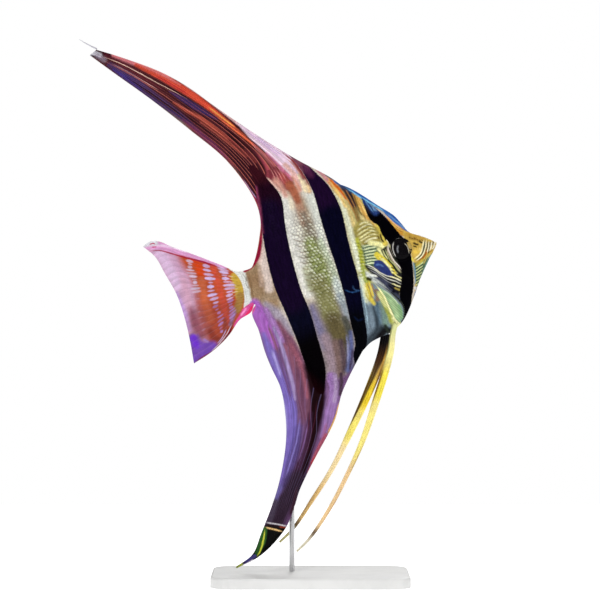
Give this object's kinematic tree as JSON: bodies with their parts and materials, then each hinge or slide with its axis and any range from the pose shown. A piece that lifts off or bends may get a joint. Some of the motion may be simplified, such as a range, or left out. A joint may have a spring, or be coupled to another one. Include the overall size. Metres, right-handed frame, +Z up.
{
  "type": "freshwater angelfish display model",
  "caption": "Life-size still model of a long-finned freshwater angelfish swimming nose up, held over a flat base by a slim rod.",
  "frame": {"origin": "on the floor, under the centre of the whole model's box, midway between the fish's two sides", "axes": "+X towards the fish's head, +Y towards the fish's left side, +Z up"},
  "size_m": [0.203, 0.08, 0.3086],
  "materials": {
    "fish_skin": "scaled skin, silver and olive between black bars, satin",
    "fin_membrane": "rayed membrane, maroon to violet, satin",
    "feeler": "yellow rays, satin",
    "eye": "black, wet gloss",
    "stand_base": "pale satin lacquer",
    "stand_rod": "brushed"
  },
  "bodies": {
    "root": {"head": "fish_skin", "upper_jaw": "fish_skin", "lower_jaw": "fish_skin", "gill_cover_left": "fish_skin", "gill_cover_right": "fish_skin", "trunk": "fish_skin", "tail_stem": "fish_skin", "eye_left": "eye", "eye_right": "eye", "dorsal_fin": "fin_membrane", "dorsal_streamer": "fin_membrane", "dorsal_filament": "fin_membrane", "anal_fin": "fin_membrane", "anal_streamer": "fin_membrane", "tail_fin": "fin_membrane", "pectoral_fin_left": "fin_membrane", "pectoral_fin_right": "fin_membrane", "pelvic_fin_left": "feeler", "pelvic_fin_right": "feeler", "stand_base": "stand_base", "stand_rod": "stand_rod"}
  },
  "joints": []
}
